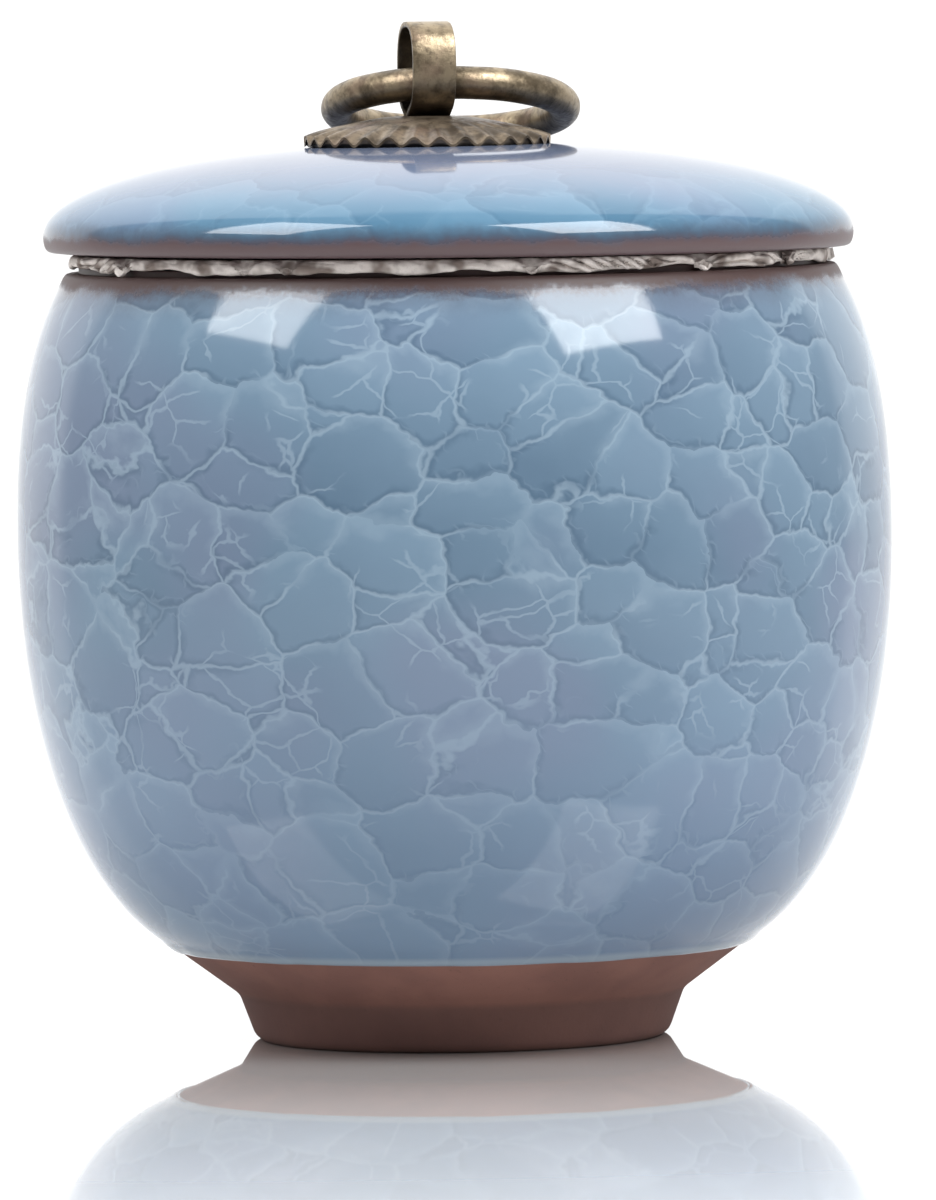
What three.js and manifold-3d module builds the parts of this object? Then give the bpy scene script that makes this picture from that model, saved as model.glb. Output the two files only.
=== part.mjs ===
import * as THREE from 'three';
import { mergeVertices } from 'three/addons/utils/BufferGeometryUtils.js';
import Module from 'manifold-3d';

// Millimetres, +Z up, the foot stands on z = 0 and -Y is the front.

// Fits between separate pieces.
const restGap = 0.3;
const flangeGap = 1.5;

// Round-bellied jar.
const bellyRadius = 50;
const bellyHeight = 58;
const bellyLowerReach = 19.9;
const bellyUpperReach = 12.7;
const glazeRadius = 33.2;
const glazeHeight = 11;
const glazeReach = 13.8;
const glazeSlope = 30.4;
const shoulderRadius = 44.9;
const shoulderHeight = 86.3;
const shoulderReach = 7.7;
const shoulderSlope = 63.1;
const ledgeRadius = 43.8;
const ledgeHeight = 88.1;
const neckRadius = 42.5;
const neckRise = 0.8;
const mouthRadius = 38.2;
const jarWall = 4.2;
const floorThickness = 6;
const floorRadius = 20;

// Unglazed foot.
const footRadius = 25.6;
const footHeight = 5.4;
const footBaseRadius = 23.6;
const footRounding = 1.2;
const footRingWidth = 4.6;
const footRecess = 2;

// Domed lid.
const lidOffset = -0.2;
const lidLean = 0.35;
const lidRadius = 46.3;
const lidEdgeHeight = 1.5;
const lidEdgeInset = 0.8;
const domeRise = 10.67;
const domeReach = 38.5;
const domeEdgeReach = 2.43;
const lidWall = 4;
const flangeDepth = 6;
const flangeWidth = 3.5;
const strapHoleRadius = 3.3;

// Cloth squeezed between jar and lid.
const clothThickness = 0.8;
const clothSkirt = 0.9;

// Pull: fluted rosette, bent strap and loose ring.
const bossOffset = -2.5;
const rosetteRadius = 14.1;
const rosetteFlat = 5;
const rosetteRise = 3;
const rosetteSheet = 0.4;
const fluteCount = 30;
const fluteHeight = 0.9;
const strapWidth = 5;
const strapSheet = 0.65;
const strapTurn = 11.5;
const strapLegGap = 0.3;
const strapFootLength = 6.5;
const loopHalfDepth = 4.85;
const loopHalfHeight = 5.25;
const loopLift = 0.25;
const loopFullness = 2.5;
const ringRadius = 13.05;
const rodRadius = 1.95;
const rodForward = 0.1;
const rodRise = 3.45;
const ringShift = 0.2;

// Facets.
const turns = 60;
const bellySteps = 7;
const innerSteps = 4;
const domeSteps = 8;
const rodSides = 10;
const ringTurns = 48;

const degrees = THREE.MathUtils.degToRad;
const point = (x, y) => new THREE.Vector2(x, y);

function curve(start, startHandle, endHandle, end, steps) {
  return new THREE.CubicBezierCurve(start, startHandle, endHandle, end).getPoints(steps);
}

function corner(start, bend, end, steps) {
  return new THREE.QuadraticBezierCurve(start, bend, end).getPoints(steps);
}

function distinct(points) {
  return points.filter((p, i) => i === 0 || p.distanceTo(points[i - 1]) > 1e-6);
}

function revolve(points, segments) {
  const geometry = new THREE.LatheGeometry(distinct(points), segments);
  geometry.rotateX(Math.PI / 2);
  return geometry;
}

const wasm = await Module();
wasm.setup();

function toSolid(geometry) {
  const bare = geometry.clone();
  bare.deleteAttribute('normal');
  bare.deleteAttribute('uv');
  const welded = mergeVertices(bare, 1e-5);
  const mesh = new wasm.Mesh({
    numProp: 3,
    vertProperties: new Float32Array(welded.attributes.position.array),
    triVerts: new Uint32Array(welded.index.array),
  });
  return new wasm.Manifold(mesh);
}

function toGeometry(solid) {
  const mesh = solid.getMesh();
  const geometry = new THREE.BufferGeometry();
  geometry.setAttribute('position', new THREE.BufferAttribute(mesh.vertProperties, 3));
  geometry.setIndex(new THREE.BufferAttribute(mesh.triVerts, 1));
  geometry.computeVertexNormals();
  return geometry;
}

// Jar: outer line from the foot up, then the inner line back down to the floor.
const bellyStart = point(glazeRadius, glazeHeight);
const bellyStartHandle = point(
  glazeRadius + glazeReach * Math.cos(degrees(glazeSlope)),
  glazeHeight + glazeReach * Math.sin(degrees(glazeSlope)),
);
const bellyMiddle = point(bellyRadius, bellyHeight);
const bellyEnd = point(shoulderRadius, shoulderHeight);
const bellyEndHandle = point(
  shoulderRadius + shoulderReach * Math.cos(degrees(shoulderSlope)),
  shoulderHeight - shoulderReach * Math.sin(degrees(shoulderSlope)),
);
const lowerBelly = new THREE.CubicBezierCurve(
  bellyStart,
  bellyStartHandle,
  point(bellyRadius, bellyHeight - bellyLowerReach),
  bellyMiddle,
);
const upperBelly = new THREE.CubicBezierCurve(
  bellyMiddle,
  point(bellyRadius, bellyHeight + bellyUpperReach),
  bellyEndHandle,
  bellyEnd,
);

function insetLine(bezier, steps) {
  return bezier.getPoints(steps).map((p, i) => {
    const along = bezier.getTangent(i / steps);
    return point(p.x - jarWall * along.y, p.y + jarWall * along.x);
  });
}

const neckTop = ledgeHeight + neckRise;
const floorHeight = footRecess + floorThickness;
const innerLower = insetLine(lowerBelly, innerSteps);
const innerUpper = insetLine(upperBelly, innerSteps - 1);
const innerStart = innerLower[0];
const innerSlope = lowerBelly.getTangent(0);
const footInner = footBaseRadius - footRingWidth;

const jarOuter = [
  point(0, footRecess),
  point(footInner - 0.6, footRecess),
  point(footInner, 0),
  ...corner(
    point(footBaseRadius - footRounding, 0),
    point(footBaseRadius, 0),
    point(footBaseRadius + 0.4, footRounding),
    2,
  ),
  point(footRadius, footHeight),
  ...lowerBelly.getPoints(bellySteps),
  ...upperBelly.getPoints(bellySteps - 2),
  point(ledgeRadius, ledgeHeight),
  point(neckRadius, ledgeHeight),
  point(neckRadius, neckTop),
  point(mouthRadius + 0.5, neckTop),
  point(mouthRadius, neckTop - 0.5),
];
const jarInner = [
  point(mouthRadius, shoulderHeight),
  ...innerUpper.reverse(),
  ...innerLower.reverse(),
  ...curve(
    innerStart,
    point(innerStart.x - 4 * innerSlope.x, innerStart.y - 4 * innerSlope.y),
    point(floorRadius + 5, floorHeight),
    point(floorRadius, floorHeight),
    2,
  ),
  point(0, floorHeight),
];
const jarGeometry = revolve([...jarOuter, ...jarInner], turns);

// The lid and all it carries sit a little crooked on the cloth, lower on the right.
const lidUnder = neckTop + 2 * restGap + clothThickness;

function settle(geometry, share) {
  geometry.translate(0, 0, -lidUnder);
  geometry.rotateY(degrees(lidLean * share));
  geometry.translate(0, 0, lidUnder);
  return geometry;
}

// Cloth seal: a layer on the neck and a skirt hanging outside it.
const clothBottom = neckTop + restGap;
const clothTop = clothBottom + clothThickness;
const skirtInner = neckRadius + restGap;
const skirtOuter = skirtInner + clothSkirt;
const clothGeometry = revolve(
  [
    point(skirtInner, clothBottom),
    point(skirtInner, ledgeHeight + restGap),
    point(skirtOuter, ledgeHeight + restGap),
    point(skirtOuter, clothTop),
    point(mouthRadius + restGap, clothTop),
    point(mouthRadius + restGap, clothBottom),
    point(skirtInner, clothBottom),
  ],
  turns,
);

// Lid: dome with a rolled edge, a locating flange and a hollow underside.
const lidEdge = lidUnder + lidEdgeHeight;
const domeTop = lidEdge + domeRise;
const dome = new THREE.CubicBezierCurve(
  point(lidRadius, lidEdge),
  point(lidRadius, lidEdge + domeEdgeReach),
  point(domeReach, domeTop),
  point(0, domeTop),
);
const flangeRadius = mouthRadius - flangeGap;
const flangeInner = flangeRadius - flangeWidth;
const flangeBottom = lidUnder - flangeDepth;
const domeUnder = domeTop - lidWall;
const lidGeometry = revolve(
  [
    point(0, domeUnder),
    ...curve(
      point(0, domeUnder),
      point(flangeInner * 0.55, domeUnder),
      point(flangeInner * 0.85, domeUnder - 1),
      point(flangeInner, lidEdge + 2),
      3,
    ),
    point(flangeInner, flangeBottom),
    point(flangeRadius - 0.5, flangeBottom),
    point(flangeRadius, flangeBottom + 0.5),
    point(flangeRadius, lidUnder),
    ...corner(
      point(lidRadius - lidEdgeInset, lidUnder),
      point(lidRadius - 0.2, lidUnder + 0.1),
      point(lidRadius, lidEdge),
      2,
    ),
    ...dome.getPoints(domeSteps),
  ],
  turns,
);
lidGeometry.translate(lidOffset, 0, 0);

const strapHole = new THREE.CylinderGeometry(strapHoleRadius, strapHoleRadius, lidWall * 3, 24);
strapHole.rotateX(Math.PI / 2);
strapHole.translate(bossOffset, 0, domeUnder + lidWall / 2);
const lidSolid = toSolid(lidGeometry).subtract(toSolid(strapHole));

function domeHeight(radius) {
  let low = 0;
  let high = 1;
  for (let i = 0; i < 40; i += 1) {
    const middle = (low + high) / 2;
    if (dome.getPoint(middle).x > radius) {
      low = middle;
    } else {
      high = middle;
    }
  }
  return dome.getPoint(low).y;
}

// Rosette: a thin dished sheet whose flutes deepen toward the rim.
const bossFromLid = Math.abs(bossOffset - lidOffset);
const rosetteSeat = domeHeight(rosetteRadius - bossFromLid) + restGap;
const rosetteRim = rosetteSeat + fluteHeight / 2;
const rosetteTop = domeTop + rosetteRise;
const rosetteShape = new THREE.CubicBezierCurve(
  point(rosetteFlat, rosetteTop - 0.1),
  point(rosetteFlat + 3.5, rosetteTop - 0.2),
  point(rosetteRadius - 2, rosetteRim + rosetteSheet + 1.6),
  point(rosetteRadius, rosetteRim + rosetteSheet),
);
const rosetteUpper = [point(0, rosetteTop), ...rosetteShape.getPoints(2)];
const rosetteLower = rosetteUpper.map((p) => point(p.x, p.y - rosetteSheet));
const rosetteOutline = [...rosetteLower, ...rosetteUpper.reverse()];
const rosetteGeometry = revolve(rosetteOutline, fluteCount * 4);
const rosettePlaces = rosetteGeometry.attributes.position;
for (let i = 0; i < rosettePlaces.count; i += 1) {
  const x = rosettePlaces.getX(i);
  const y = rosettePlaces.getY(i);
  const reach = (Math.hypot(x, y) - rosetteFlat) / (rosetteRadius - rosetteFlat);
  const wave = Math.cos(fluteCount * Math.atan2(y, x)) * Math.max(reach, 0) * (fluteHeight / 2);
  rosettePlaces.setZ(i, rosettePlaces.getZ(i) + wave);
}
rosetteGeometry.translate(bossOffset, 0, 0);

const strapPair = 2 * strapSheet + strapLegGap;
const strapSlot = new THREE.BoxGeometry(strapWidth + 2 * restGap, strapPair + 2 * restGap, 8);
strapSlot.rotateZ(degrees(strapTurn));
strapSlot.translate(bossOffset, 0, rosetteTop);
const rosetteSolid = toSolid(rosetteGeometry).subtract(toSolid(strapSlot));

// Strap: two feet under the lid, two legs up through it and an oval loop above the rosette.
const legMiddle = (strapSheet + strapLegGap) / 2;
const loopDepth = loopHalfDepth - strapSheet / 2;
const loopHeight = loopHalfHeight - strapSheet / 2;
const loopMiddle = rosetteTop + loopLift + loopHalfHeight;
const footBend = 1;
const footLevel = domeHeight(bossFromLid + strapFootLength) - lidWall - restGap - strapSheet / 2;
const halfStrap = [
  point(strapFootLength, footLevel),
  ...corner(
    point(legMiddle + footBend, footLevel),
    point(legMiddle, footLevel),
    point(legMiddle, footLevel + footBend),
    3,
  ),
];
const loopSteps = 14;
halfStrap.push(point(legMiddle, rosetteTop));
for (let i = 2; i <= loopSteps; i += 1) {
  const angle = (Math.PI * i) / loopSteps;
  const across = Math.sin(angle) ** (2 / loopFullness);
  const along = Math.sign(Math.cos(angle)) * Math.abs(Math.cos(angle)) ** (2 / loopFullness);
  halfStrap.push(point(loopDepth * across, loopMiddle - loopHeight * along));
}
halfStrap[halfStrap.length - 1].x = 0;
const strapLine = [
  ...halfStrap,
  ...halfStrap.slice(0, -1).reverse().map((p) => point(-p.x, p.y)),
];

function offsetLine(line, distance) {
  return line.map((p, i) => {
    const before = line[Math.max(i - 1, 0)];
    const after = line[Math.min(i + 1, line.length - 1)];
    const into = p.clone().sub(i === 0 ? p.clone().sub(after.clone().sub(p)) : before).normalize();
    const out = i === line.length - 1 ? into.clone() : after.clone().sub(p).normalize();
    const mitre = into.clone().add(out).normalize();
    const stretch = distance / Math.max(mitre.dot(into), 0.5);
    return point(p.x + mitre.y * stretch, p.y - mitre.x * stretch);
  });
}

const strapOutline = new THREE.Shape([
  ...offsetLine(strapLine, strapSheet / 2),
  ...offsetLine(strapLine, -strapSheet / 2).reverse(),
]);
const strapGeometry = new THREE.ExtrudeGeometry(strapOutline, {
  depth: strapWidth,
  bevelEnabled: false,
});
strapGeometry.translate(0, 0, -strapWidth / 2);
strapGeometry.rotateX(Math.PI / 2);
strapGeometry.rotateZ(Math.PI / 2 + degrees(strapTurn));
strapGeometry.translate(bossOffset, 0, 0);

// Ring: hangs low in the loop and leans back until it rests on the lid.
const ringTurn = Math.asin((bossOffset - ringShift) / ringRadius);
const hangHeight = loopMiddle - loopHalfHeight + rodRise;

function ringPoint(lean, angle) {
  const across = ringRadius * Math.sin(angle);
  const back = ringRadius * (Math.cos(ringTurn) - Math.cos(angle));
  return new THREE.Vector3(
    ringShift + across,
    back * Math.cos(lean) - rodForward,
    hangHeight - back * Math.sin(lean),
  );
}

function gapToDome(lean) {
  let least = Infinity;
  const domePoints = dome.getPoints(120);
  for (let i = 0; i < 72; i += 1) {
    const p = ringPoint(lean, (i * Math.PI) / 36);
    const place = point(Math.hypot(p.x - lidOffset, p.y), p.z);
    for (const q of domePoints) {
      least = Math.min(least, place.distanceTo(q));
    }
  }
  return least - rodRadius;
}

let leanLow = 0;
let leanHigh = degrees(40);
for (let i = 0; i < 30; i += 1) {
  const middle = (leanLow + leanHigh) / 2;
  if (gapToDome(middle) > restGap) {
    leanLow = middle;
  } else {
    leanHigh = middle;
  }
}
const ringLean = leanLow;

const rodProfile = [];
for (let i = 0; i < rodSides; i += 1) {
  const angle = (i * 2 * Math.PI) / rodSides;
  rodProfile.push(point(ringRadius + rodRadius * Math.cos(angle), rodRadius * Math.sin(angle)));
}
rodProfile.push(rodProfile[0].clone());
const ringGeometry = revolve(rodProfile, ringTurns);
ringGeometry.rotateX(-ringLean);
const ringBack = ringRadius * Math.cos(ringTurn);
ringGeometry.translate(
  ringShift,
  ringBack * Math.cos(ringLean) - rodForward,
  hangHeight - ringBack * Math.sin(ringLean),
);

const glaze = new THREE.MeshStandardMaterial({ color: 0x7893af, roughness: 0.15, metalness: 0 });
const lidGlaze = new THREE.MeshStandardMaterial({ color: 0x7ba3c3, roughness: 0.15, metalness: 0 });
const cloth = new THREE.MeshStandardMaterial({ color: 0xb9b0a8, roughness: 0.9, metalness: 0 });
const agedBrass = new THREE.MeshStandardMaterial({ color: 0x867154, roughness: 0.4, metalness: 0.9 });

function named(name, geometry, material) {
  const mesh = new THREE.Mesh(geometry, material);
  mesh.name = name;
  return mesh;
}

const group = new THREE.Group();
group.name = 'lidded_urn';
group.add(named('urn_body', jarGeometry, glaze));
group.add(named('cloth_seal', settle(clothGeometry, 0.5), cloth));
group.add(named('lid', settle(toGeometry(lidSolid), 1), lidGlaze));
group.add(named('rosette', settle(toGeometry(rosetteSolid), 1), agedBrass));
group.add(named('strap_loop', settle(strapGeometry, 1), agedBrass));
group.add(named('pull_ring', settle(ringGeometry, 1), agedBrass));

export default group;
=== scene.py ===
import math

import bpy
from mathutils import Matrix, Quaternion, Vector


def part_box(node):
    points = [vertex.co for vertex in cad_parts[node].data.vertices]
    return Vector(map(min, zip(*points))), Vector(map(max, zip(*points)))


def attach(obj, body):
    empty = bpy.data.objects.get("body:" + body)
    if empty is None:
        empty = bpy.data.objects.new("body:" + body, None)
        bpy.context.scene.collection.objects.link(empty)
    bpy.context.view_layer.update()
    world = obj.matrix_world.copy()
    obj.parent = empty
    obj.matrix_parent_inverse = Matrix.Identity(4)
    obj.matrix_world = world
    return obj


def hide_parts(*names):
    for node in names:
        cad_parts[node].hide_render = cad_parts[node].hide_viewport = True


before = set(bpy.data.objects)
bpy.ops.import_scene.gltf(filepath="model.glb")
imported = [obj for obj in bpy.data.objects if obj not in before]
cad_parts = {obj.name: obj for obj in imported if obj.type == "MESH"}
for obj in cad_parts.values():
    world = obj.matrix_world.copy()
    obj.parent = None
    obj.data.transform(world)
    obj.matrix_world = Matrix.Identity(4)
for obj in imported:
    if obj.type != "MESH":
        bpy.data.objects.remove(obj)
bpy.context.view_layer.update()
bpy.ops.object.select_all(action="DESELECT")

mm = 0.001  # sizes below are in millimetres, angles in degrees


# Outlines are lists of (radius, height), drawn from point to point.
def curveTo(outline, startHandle, endHandle, end, steps):
    start = outline[-1]
    for i in range(1, steps + 1):
        t = i / steps
        s = 1 - t
        outline.append(
            tuple(
                s**3 * a + 3 * s * s * t * b + 3 * s * t * t * c + t**3 * d
                for a, b, c, d in zip(start, startHandle, endHandle, end)
            )
        )


def lineTo(outline, end, steps=1):
    start = outline[-1]
    for i in range(1, steps + 1):
        t = i / steps
        outline.append(tuple(a + (b - a) * t for a, b in zip(start, end)))


def roundTo(outline, corner, end, steps=4):
    start = outline[-1]
    near = tuple(a + (c - a) * 2 / 3 for a, c in zip(start, corner))
    far = tuple(b + (c - b) * 2 / 3 for b, c in zip(end, corner))
    curveTo(outline, near, far, end, steps)


def along(distance, slope):
    angle = math.radians(slope)
    return distance * math.cos(angle), distance * math.sin(angle)


def inset(outline, wall):
    # the same line, moved in by the wall along its own normals
    moved = []
    for i, place in enumerate(outline):
        before = outline[max(i - 1, 0)]
        after = outline[min(i + 1, len(outline) - 1)]
        run = Vector((after[0] - before[0], after[1] - before[1])).normalized()
        moved.append((place[0] - wall * run.y, place[1] + wall * run.x))
    return moved


def drawPath(name, places):
    # one vertex is drawn out along the places, in millimetres
    bpy.ops.object.select_all(action="DESELECT")
    bpy.ops.mesh.primitive_plane_add(size=mm)
    piece = bpy.context.object
    piece.name = name
    piece.data.name = name
    bpy.ops.object.mode_set(mode="EDIT")
    bpy.ops.mesh.select_mode(type="VERT")
    bpy.ops.mesh.select_all(action="SELECT")
    bpy.ops.mesh.merge(type="CENTER")
    places = [Vector(place) * mm for place in places]
    bpy.ops.transform.translate(value=places[0])
    for before, after in zip(places, places[1:]):
        bpy.ops.mesh.extrude_region_move(TRANSFORM_OT_translate={"value": after - before})
    return piece


def spinOutline(name, outline, segments):
    piece = drawPath(name, [(radius, 0, height) for radius, height in outline])
    bpy.ops.mesh.select_all(action="SELECT")
    bpy.ops.mesh.spin(steps=segments, angle=math.tau, center=(0, 0, 0), axis=(0, 0, 1))
    bpy.ops.mesh.select_all(action="SELECT")
    bpy.ops.mesh.remove_doubles(threshold=2e-6)
    bpy.ops.mesh.normals_make_consistent(inside=False)
    bpy.ops.object.mode_set(mode="OBJECT")
    return piece


def weigh(piece, name, weightOf):
    # a vertex group whose weights come from each vertex's place in millimetres
    group = piece.vertex_groups.new(name=name)
    for vertex in piece.data.vertices:
        weight = weightOf(*(c / mm for c in vertex.co))
        if weight > 0.001:
            group.add([vertex.index], min(weight, 1), "REPLACE")
    return group.name


def displace(piece, group, strength, direction="NORMAL", middle=0.0, cloudSize=None, depth=1):
    # moves the weighted vertices, evenly or by a cloud texture
    modifier = piece.modifiers.new("shape", "DISPLACE")
    modifier.vertex_group = group
    modifier.strength = strength * mm
    modifier.direction = direction
    modifier.mid_level = middle
    if cloudSize:
        clouds = bpy.data.textures.new(piece.name + "Clouds", "CLOUDS")
        clouds.noise_scale = cloudSize * mm
        clouds.noise_depth = depth
        modifier.texture = clouds
        modifier.texture_coords = "LOCAL"
    bpy.context.view_layer.objects.active = piece
    bpy.ops.object.modifier_apply(modifier=modifier.name)


def turn(degrees, axis, centre):
    # in edit mode, right-handed about the axis: with no window the operator turns the other way
    bpy.ops.mesh.select_all(action="SELECT")
    bpy.ops.transform.rotate(
        value=-math.radians(degrees), orient_axis=axis, center_override=[c * mm for c in centre]
    )


def settle(piece, share):
    # the lid and all it carries lean a little to the right on the cloth
    bpy.context.view_layer.objects.active = piece
    bpy.ops.object.mode_set(mode="EDIT")
    turn(lid["lean"] * share, "Y", (0, 0, lid["under"]))
    bpy.ops.object.mode_set(mode="OBJECT")


def finishPiece(piece, material, slot, body, *nodes):
    bpy.ops.object.select_all(action="DESELECT")
    bpy.context.view_layer.objects.active = piece
    piece.select_set(True)
    bpy.ops.object.shade_smooth_by_angle(angle=math.radians(35))
    piece.data.materials.clear()
    piece.data.materials.append(material)
    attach(piece, body)
    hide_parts(*nodes)
    print(piece.name, len(piece.data.polygons), "faces")


# Small helpers for node trees.
def add(tree, kind, inputs=None, **settings):
    node = tree.nodes.new(kind)
    for key, value in settings.items():
        setattr(node, key, value)
    for key, value in (inputs or {}).items():
        if isinstance(value, bpy.types.NodeSocket):
            tree.links.new(value, node.inputs[key])
        else:
            node.inputs[key].default_value = value
    return node


def maths(tree, operation, first, second=0.0, third=0.0, clamp=False):
    values = {0: first, 1: second}
    if operation == "MULTIPLY_ADD":
        values[2] = third
    return add(tree, "ShaderNodeMath", values, operation=operation, use_clamp=clamp).outputs[0]


def shift(tree, vector, offset):
    return add(tree, "ShaderNodeVectorMath", {0: vector, 1: offset}, operation="ADD").outputs[0]


def fade(tree, value, start, end, low=0.0, high=1.0):
    # low before start, high after end, smooth between
    inputs = {"Value": value, "From Min": start, "From Max": end, "To Min": low, "To Max": high}
    return add(
        tree, "ShaderNodeMapRange", inputs, interpolation_type="SMOOTHSTEP", clamp=True
    ).outputs[0]


def mix(tree, amount, first, second, blend="MIX"):
    inputs = {0: amount, 6: first, 7: second}
    return add(
        tree, "ShaderNodeMix", inputs, data_type="RGBA", blend_type=blend, clamp_factor=True
    ).outputs[2]


def cloud(tree, vector, size, detail=2.0, roughness=0.5, stretch=None):
    # noise whose blots are about size millimetres across
    if stretch:
        vector = add(
            tree, "ShaderNodeVectorMath", {0: vector, 1: stretch}, operation="MULTIPLY"
        ).outputs[0]
    inputs = {"Vector": vector, "Scale": 1 / (size * mm), "Detail": detail, "Roughness": roughness}
    return add(tree, "ShaderNodeTexNoise", inputs)


def wobble(tree, value, noise, reach):
    # shifts the value by up to half the reach either way
    return maths(tree, "MULTIPLY_ADD", maths(tree, "SUBTRACT", noise, 0.5), reach, value)


def paint(red, green, blue):
    # a colour as seen on a screen, 0 to 255
    def linear(c):
        c /= 255
        return c / 12.92 if c <= 0.04045 else ((c + 0.055) / 1.055) ** 2.4

    return linear(red), linear(green), linear(blue), 1.0


def newMaterial(name):
    material = bpy.data.materials.new(name)
    material.use_nodes = True
    tree = material.node_tree
    place = tree.nodes.new("ShaderNodeTexCoord").outputs["Object"]
    return material, tree, tree.nodes["Principled BSDF"], place


def newGroup(name, inputs, outputs):
    # inputs and outputs are (name, socket kind) pairs
    group = bpy.data.node_groups.new(name, "ShaderNodeTree")
    for label, kind in inputs:
        group.interface.new_socket(label, in_out="INPUT", socket_type=kind)
    for label, kind in outputs:
        group.interface.new_socket(label, in_out="OUTPUT", socket_type=kind)
    return group, group.nodes.new("NodeGroupInput"), group.nodes.new("NodeGroupOutput")


def useGroup(tree, group, inputs):
    node = add(tree, "ShaderNodeGroup", node_tree=group)
    for key, value in inputs.items():
        if isinstance(value, bpy.types.NodeSocket):
            tree.links.new(value, node.inputs[key])
        else:
            node.inputs[key].default_value = value
    return node


# The crackled glaze of jar and lid.
crackle = dict(
    plateSize=9.6,  # about one plate of the crackle
    innerSize=6.4,
    flatten=1.25,  # plates are wider than high
    warp=4.5,  # how far the lines wander
    warpSize=12,
    scallop=2.6,
    scallopSize=3.2,
    lineWidth=0.25,
    lightFrom=(0.5, 0.3, 0.8),  # each plate looks lit from this side
)


def buildCrackle():
    group, given, out = newGroup(
        "iceCrackle",
        [("place", "NodeSocketVector")],
        [("pale", "NodeSocketFloat"), ("dark", "NodeSocketFloat"), ("tone", "NodeSocketFloat")],
    )
    still = given.outputs["place"]
    place = add(
        group,
        "ShaderNodeVectorMath",
        {0: still, 1: (1, 1, crackle["flatten"])},
        operation="MULTIPLY",
    ).outputs[0]
    for size, reach, detail in (
        (crackle["warpSize"], crackle["warp"], 1.0),
        (crackle["scallopSize"], crackle["scallop"], 2.5),
    ):
        wander = cloud(group, place, size, detail).outputs["Color"]
        centred = shift(group, wander, (-0.5, -0.5, -0.5))
        scaled = add(
            group, "ShaderNodeVectorMath", {0: centred, "Scale": reach * mm}, operation="SCALE"
        ).outputs[0]
        place = shift(group, place, scaled)

    def edgeDistance(size):
        return add(
            group,
            "ShaderNodeTexVoronoi",
            {"Vector": place, "Scale": 1 / (size * mm), "Randomness": 1.0},
            feature="DISTANCE_TO_EDGE",
        ).outputs["Distance"]

    def product(first, second):
        return maths(group, "MULTIPLY", first, second)

    plates = add(
        group,
        "ShaderNodeTexVoronoi",
        {"Vector": place, "Scale": 1 / (crackle["plateSize"] * mm), "Randomness": 1.0},
        feature="F1",
    )
    fromMiddle = add(
        group,
        "ShaderNodeVectorMath",
        {0: place, 1: plates.outputs["Position"]},
        operation="SUBTRACT",
    ).outputs[0]
    towards = add(
        group,
        "ShaderNodeVectorMath",
        {0: fromMiddle, 1: crackle["lightFrom"]},
        operation="DOT_PRODUCT",
    ).outputs["Value"]
    side = maths(group, "DIVIDE", towards, crackle["plateSize"] * mm)
    width = crackle["lineWidth"] / crackle["plateSize"]
    edge = edgeDistance(crackle["plateSize"])
    patches = cloud(group, still, 8, 1.0).outputs[0]
    line = fade(group, edge, width * 0.2, width * 1.6, 1.0, 0.0)
    line = product(line, fade(group, patches, 0.36, 0.5, 0.35, 1.0))

    # a second finer set of lines shows in patches
    innerWidth = crackle["lineWidth"] / crackle["innerSize"]
    inner = fade(
        group, edgeDistance(crackle["innerSize"]), innerWidth * 0.2, innerWidth, 1.0, 0.0
    )
    inner = product(inner, fade(group, patches, 0.5, 0.6, 0.0, 0.8))

    # short parallel strokes beside the edges
    strokes = add(
        group,
        "ShaderNodeTexWave",
        {"Vector": place, "Scale": 0.31 / (1.5 * mm), "Distortion": 6.0, "Detail Scale": 1.5},
        bands_direction="DIAGONAL",
    ).outputs["Fac"]
    strokes = fade(group, strokes, 0.85, 1.0, 0.0, 0.32)
    near = fade(group, edge, 0.06, 0.14, 1.0, 0.0)
    strokes = product(strokes, product(near, fade(group, patches, 0.42, 0.56, 1.0, 0.0)))

    # painted highlight and shade: a pale halo inside each plate's edge on the side towards
    # lightFrom, and a dark band beside the edge on the side away from it
    lit = product(
        fade(group, edge, 0.0, 0.16, 0.5, 0.0), fade(group, side, 0.02, 0.3)
    )
    shaded = product(
        fade(group, edge, width, width * 4.5, 1.0, 0.0), fade(group, side, -0.02, -0.22)
    )
    pale = maths(group, "MAXIMUM", maths(group, "MAXIMUM", line, inner), strokes)
    pale = maths(group, "MAXIMUM", pale, lit)
    level = add(group, "ShaderNodeSeparateColor", {0: plates.outputs["Color"]}).outputs["Green"]
    level = maths(group, "MULTIPLY_ADD", level, 0.5, 0.25)
    # painted light: each plate's tone rises towards lightFrom, on top of a random level per plate
    tone = maths(group, "MULTIPLY_ADD", side, 0.6, level, clamp=True)
    group.links.new(pale, out.inputs["pale"])
    group.links.new(shaded, out.inputs["dark"])
    group.links.new(tone, out.inputs["tone"])
    return group


crackleGroup = buildCrackle()


def glazeColour(tree, place, tint):
    # tint holds the colours of one glazed piece and how strong its lines are
    lines = useGroup(tree, crackleGroup, {"place": place})
    colour = mix(tree, lines.outputs["tone"], tint["deep"], tint["light"])
    drift = cloud(tree, place, 26, 1.0).outputs[0]
    colour = mix(tree, fade(tree, drift, 0.42, 0.66, 0.0, 0.5), colour, tint["lavender"])
    # painted shade beside the crack lines, on each plate's side away from the light
    dark = maths(tree, "MULTIPLY", lines.outputs["dark"], tint["paintedLineShade"])
    colour = mix(tree, dark, colour, tint["shadow"])
    # pale crack lines, together with the painted highlight along each plate's lit edge
    pale = maths(tree, "MULTIPLY", lines.outputs["pale"], tint["linePale"])
    return mix(tree, pale, colour, tint["pale"])


def heightOf(tree, place):
    # the height in millimetres
    height = add(tree, "ShaderNodeSeparateXYZ", {0: place}).outputs["Z"]
    return maths(tree, "DIVIDE", height, mm)


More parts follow.
